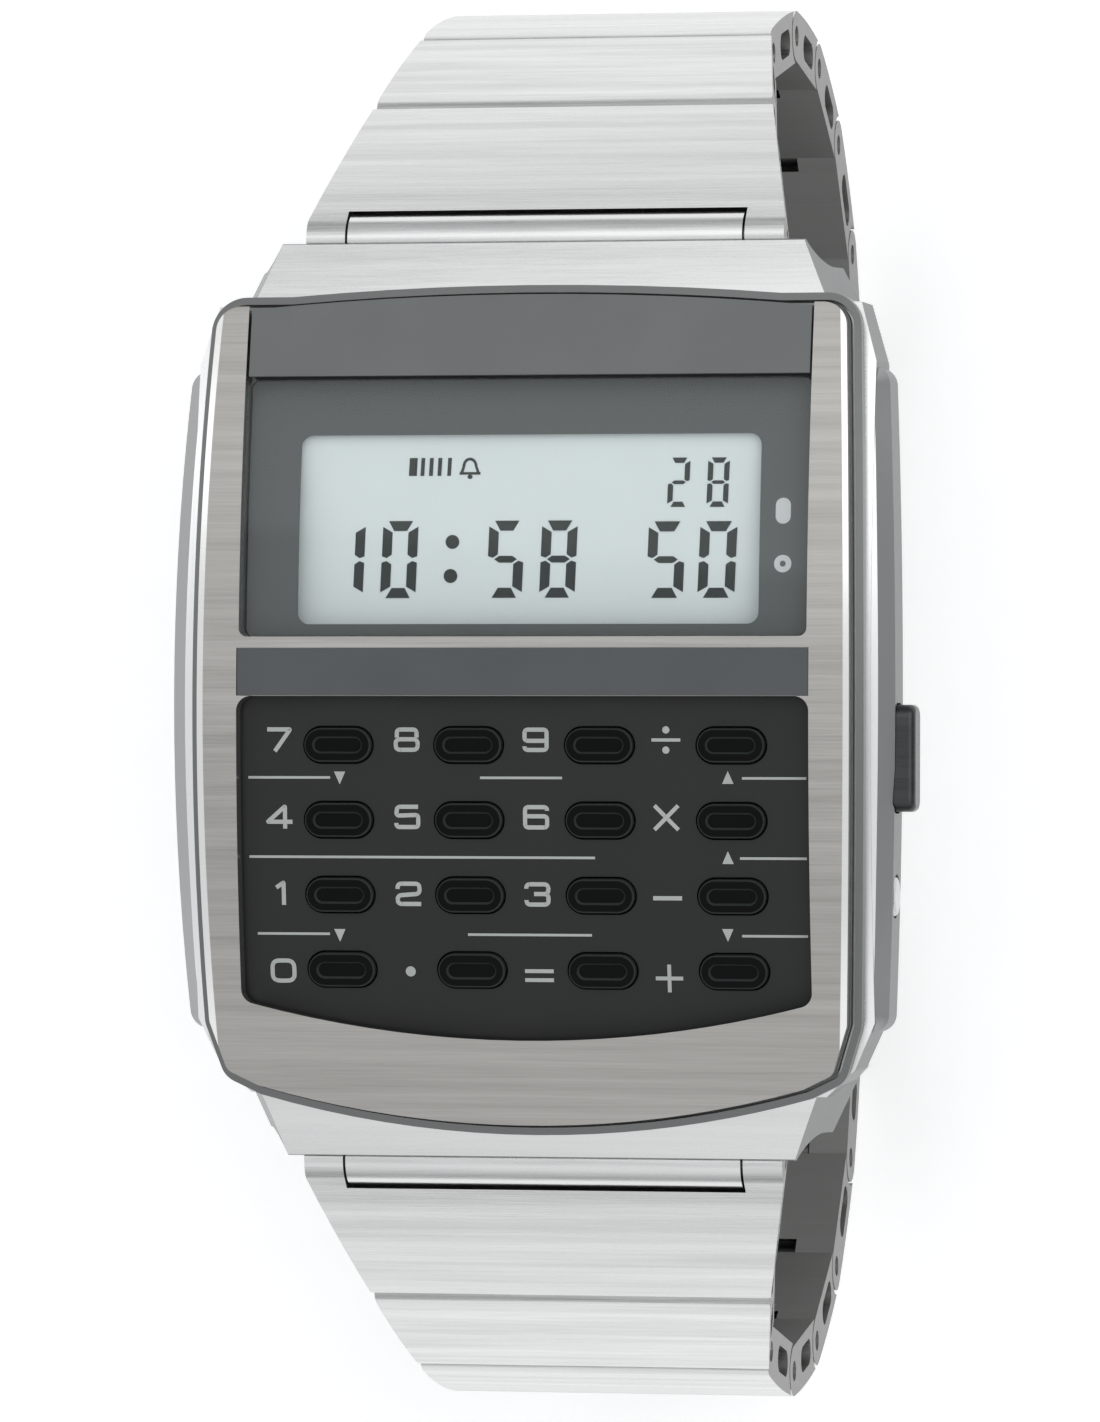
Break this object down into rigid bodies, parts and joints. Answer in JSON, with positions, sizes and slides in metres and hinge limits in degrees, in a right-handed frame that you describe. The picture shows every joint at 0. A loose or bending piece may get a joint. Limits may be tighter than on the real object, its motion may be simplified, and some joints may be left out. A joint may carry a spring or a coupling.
{
  "type": "calculator watch",
  "caption": "Digital calculator watch with a brushed bezel, display, keypad and a hinged folding-link bracelet with a fold-over clasp.",
  "frame": {"origin": "centre of the flat underside of the closed clasp, on which the watch stands", "axes": "+X to the button side (3 o'clock), +Y to the top of the dial (12 o'clock), +Z out of the dial"},
  "size_m": [0.0353, 0.0684, 0.0475],
  "materials": {
    "case_shell": "silver-plated resin, satin",
    "bezel_steel": "brushed across the dial",
    "dark_bar": "dark grey, satin",
    "strip_inlay": "dark blue-grey, gloss",
    "crystal": "clear, polished",
    "mask_print": "dark grey print",
    "black_rubber": "matt",
    "keypad_black": "black, satin",
    "key_plastic": "dark grey, satin",
    "back_steel": "brushed",
    "screw_steel": "turned",
    "display_glass": "reflective liquid-crystal cell",
    "contact_rubber": "striped conductive rubber",
    "board_laminate": "solder mask",
    "chip_resin": "moulded resin",
    "bare_can": "drawn can",
    "frame_plastic": "moulded",
    "cell_steel": "nickel-plated",
    "spring_steel": "bright wire and strip",
    "brass_disc": "bright",
    "button_steel": "dark satin",
    "pin_steel": "bright drawn",
    "clasp_steel": "brushed along the band",
    "blade_steel": "polished",
    "link_steel": "brushed across the band"
  },
  "bodies": {
    "case": {"case_body": "case_shell", "bezel": "bezel_steel", "upper_bar": "dark_bar", "center_strip": "strip_inlay", "crystal": "crystal", "dial_mask": "mask_print", "crystal_gasket": "black_rubber", "keypad_plate": "keypad_black", "key_mat": "black_rubber", "case_back": "back_steel", "back_gasket": "black_rubber", "back_screws": "screw_steel", "lcd_panel": "display_glass", "lcd_connectors": "contact_rubber", "circuit_board": "board_laminate", "processor_chip": "chip_resin", "quartz_crystal": "bare_can", "module_frame": "frame_plastic", "battery": "cell_steel", "battery_clip": "spring_steel", "buzzer_disc": "brass_disc", "buzzer_spring": "spring_steel", "mode_button_spring": "spring_steel"},
    "upper_link_1": {"upper_link_1": "link_steel", "upper_spring_bar": "pin_steel"},
    "upper_link_2": {"upper_link_2": "link_steel"},
    "upper_link_3": {"upper_link_3": "link_steel"},
    "upper_link_4": {"upper_link_4": "link_steel"},
    "upper_link_5": {"upper_link_5": "link_steel"},
    "upper_link_6": {"upper_link_6": "link_steel"},
    "upper_link_7": {"upper_link_7": "link_steel"},
    "lower_link_1": {"lower_link_1": "link_steel", "lower_spring_bar": "pin_steel"},
    "lower_link_2": {"lower_link_2": "link_steel"},
    "lower_link_3": {"lower_link_3": "link_steel"},
    "lower_link_4": {"lower_link_4": "link_steel"},
    "lower_link_5": {"lower_link_5": "link_steel"},
    "lower_link_6": {"lower_link_6": "link_steel"},
    "lower_link_7": {"lower_link_7": "link_steel"},
    "clasp_cover": {"clasp_cover": "clasp_steel"},
    "clasp_middle_blade": {"clasp_middle_blade": "blade_steel"},
    "clasp_inner_blade": {"clasp_inner_blade": "blade_steel"},
    "mode_button": {"mode_button": "button_steel"},
    "adjust_button": {"adjust_button": "button_steel"},
    "key_7": {"key_7": "key_plastic"},
    "key_8": {"key_8": "key_plastic"},
    "key_9": {"key_9": "key_plastic"},
    "key_divide": {"key_divide": "key_plastic"},
    "key_4": {"key_4": "key_plastic"},
    "key_5": {"key_5": "key_plastic"},
    "key_6": {"key_6": "key_plastic"},
    "key_times": {"key_times": "key_plastic"},
    "key_1": {"key_1": "key_plastic"},
    "key_2": {"key_2": "key_plastic"},
    "key_3": {"key_3": "key_plastic"},
    "key_minus": {"key_minus": "key_plastic"},
    "key_0": {"key_0": "key_plastic"},
    "key_point": {"key_point": "key_plastic"},
    "key_equals": {"key_equals": "key_plastic"},
    "key_plus": {"key_plus": "key_plastic"}
  },
  "joints": [
    {"name": "upper_link_1_hinge", "type": "hinge", "parent": "case", "child": "upper_link_1", "pos_m": [0, 0.0218, 0.04093], "axis": [1, 0, 0], "range_deg": [0, 35]},
    {"name": "upper_link_2_hinge", "type": "hinge", "parent": "upper_link_1", "child": "upper_link_2", "pos_m": [0, 0.028, 0.03392], "axis": [1, 0, 0], "range_deg": [0, 9.5]},
    {"name": "upper_link_3_hinge", "type": "hinge", "parent": "upper_link_2", "child": "upper_link_3", "pos_m": [0, 0.03155, 0.02824], "axis": [1, 0, 0], "range_deg": [0, 20.33]},
    {"name": "upper_link_4_hinge", "type": "hinge", "parent": "upper_link_3", "child": "upper_link_4", "pos_m": [0, 0.03296, 0.02139], "axis": [1, 0, 0], "range_deg": [0, 20.33]},
    {"name": "upper_link_5_hinge", "type": "hinge", "parent": "upper_link_4", "child": "upper_link_5", "pos_m": [0, 0.03191, 0.01447], "axis": [1, 0, 0], "range_deg": [0, 20.33]},
    {"name": "upper_link_6_hinge", "type": "hinge", "parent": "upper_link_5", "child": "upper_link_6", "pos_m": [0, 0.02851, 0.00834], "axis": [1, 0, 0], "range_deg": [0, 20.33]},
    {"name": "upper_link_7_hinge", "type": "hinge", "parent": "upper_link_6", "child": "upper_link_7", "pos_m": [0, 0.0232, 0.00378], "axis": [1, 0, 0], "range_deg": [0, 20.33]},
    {"name": "lower_link_1_hinge", "type": "hinge", "parent": "case", "child": "lower_link_1", "pos_m": [0, -0.0218, 0.04093], "axis": [-1, 0, 0], "range_deg": [0, 35]},
    {"name": "lower_link_2_hinge", "type": "hinge", "parent": "lower_link_1", "child": "lower_link_2", "pos_m": [0, -0.028, 0.03392], "axis": [-1, 0, 0], "range_deg": [0, 9.5]},
    {"name": "lower_link_3_hinge", "type": "hinge", "parent": "lower_link_2", "child": "lower_link_3", "pos_m": [0, -0.03155, 0.02824], "axis": [-1, 0, 0], "range_deg": [0, 20.33]},
    {"name": "lower_link_4_hinge", "type": "hinge", "parent": "lower_link_3", "child": "lower_link_4", "pos_m": [0, -0.03296, 0.02139], "axis": [-1, 0, 0], "range_deg": [0, 20.33]},
    {"name": "lower_link_5_hinge", "type": "hinge", "parent": "lower_link_4", "child": "lower_link_5", "pos_m": [0, -0.03191, 0.01447], "axis": [-1, 0, 0], "range_deg": [0, 20.33]},
    {"name": "lower_link_6_hinge", "type": "hinge", "parent": "lower_link_5", "child": "lower_link_6", "pos_m": [0, -0.02851, 0.00834], "axis": [-1, 0, 0], "range_deg": [0, 20.33]},
    {"name": "lower_link_7_hinge", "type": "hinge", "parent": "lower_link_6", "child": "lower_link_7", "pos_m": [0, -0.0232, 0.00378], "axis": [-1, 0, 0], "range_deg": [0, 20.33]},
    {"name": "clasp_cover_hinge", "type": "hinge", "parent": "upper_link_7", "child": "clasp_cover", "pos_m": [0, 0.01664, 0.00135], "axis": [1, 0, 0], "range_deg": [0, 40]},
    {"name": "clasp_middle_hinge", "type": "hinge", "parent": "clasp_cover", "child": "clasp_middle_blade", "pos_m": [0, -0.0126, 0.0016], "axis": [1, 0, 0], "range_deg": [0, 55]},
    {"name": "clasp_inner_hinge", "type": "hinge", "parent": "clasp_middle_blade", "child": "clasp_inner_blade", "pos_m": [0, 0.0124, 0.002], "axis": [-1, 0, 0], "range_deg": [0, 55]},
    {"name": "mode_button_press", "type": "slide", "parent": "case", "child": "mode_button", "axis": [-1, 0, 0], "range_m": [0, 0.0008], "stiffness_N_per_m": 300},
    {"name": "adjust_button_press", "type": "slide", "parent": "case", "child": "adjust_button", "axis": [-1, 0, 0], "range_m": [0, 0.0005], "stiffness_N_per_m": 300},
    {"name": "key_7_press", "type": "slide", "parent": "case", "child": "key_7", "axis": [0, 0.0275, -0.9996], "range_m": [0, 0.0004], "stiffness_N_per_m": 300},
    {"name": "key_8_press", "type": "slide", "parent": "case", "child": "key_8", "axis": [0, 0.0275, -0.9996], "range_m": [0, 0.0004], "stiffness_N_per_m": 300},
    {"name": "key_9_press", "type": "slide", "parent": "case", "child": "key_9", "axis": [0, 0.0275, -0.9996], "range_m": [0, 0.0004], "stiffness_N_per_m": 300},
    {"name": "key_divide_press", "type": "slide", "parent": "case", "child": "key_divide", "axis": [0, 0.0275, -0.9996], "range_m": [0, 0.0004], "stiffness_N_per_m": 300},
    {"name": "key_4_press", "type": "slide", "parent": "case", "child": "key_4", "axis": [0, 0.0721, -0.9974], "range_m": [0, 0.0004], "stiffness_N_per_m": 300},
    {"name": "key_5_press", "type": "slide", "parent": "case", "child": "key_5", "axis": [0, 0.0721, -0.9974], "range_m": [0, 0.0004], "stiffness_N_per_m": 300},
    {"name": "key_6_press", "type": "slide", "parent": "case", "child": "key_6", "axis": [0, 0.0721, -0.9974], "range_m": [0, 0.0004], "stiffness_N_per_m": 300},
    {"name": "key_times_press", "type": "slide", "parent": "case", "child": "key_times", "axis": [0, 0.0721, -0.9974], "range_m": [0, 0.0004], "stiffness_N_per_m": 300},
    {"name": "key_1_press", "type": "slide", "parent": "case", "child": "key_1", "axis": [0, 0.1168, -0.9932], "range_m": [0, 0.0004], "stiffness_N_per_m": 300},
    {"name": "key_2_press", "type": "slide", "parent": "case", "child": "key_2", "axis": [0, 0.1168, -0.9932], "range_m": [0, 0.0004], "stiffness_N_per_m": 300},
    {"name": "key_3_press", "type": "slide", "parent": "case", "child": "key_3", "axis": [0, 0.1168, -0.9932], "range_m": [0, 0.0004], "stiffness_N_per_m": 300},
    {"name": "key_minus_press", "type": "slide", "parent": "case", "child": "key_minus", "axis": [0, 0.1168, -0.9932], "range_m": [0, 0.0004], "stiffness_N_per_m": 300},
    {"name": "key_0_press", "type": "slide", "parent": "case", "child": "key_0", "axis": [0, 0.1614, -0.9869], "range_m": [0, 0.0004], "stiffness_N_per_m": 300},
    {"name": "key_point_press", "type": "slide", "parent": "case", "child": "key_point", "axis": [0, 0.1614, -0.9869], "range_m": [0, 0.0004], "stiffness_N_per_m": 300},
    {"name": "key_equals_press", "type": "slide", "parent": "case", "child": "key_equals", "axis": [0, 0.1614, -0.9869], "range_m": [0, 0.0004], "stiffness_N_per_m": 300},
    {"name": "key_plus_press", "type": "slide", "parent": "case", "child": "key_plus", "axis": [0, 0.1614, -0.9869], "range_m": [0, 0.0004], "stiffness_N_per_m": 300}
  ],
  "couplings": [
    {"joint": "clasp_inner_hinge", "follows": "clasp_middle_hinge", "ratio": 1}
  ]
}
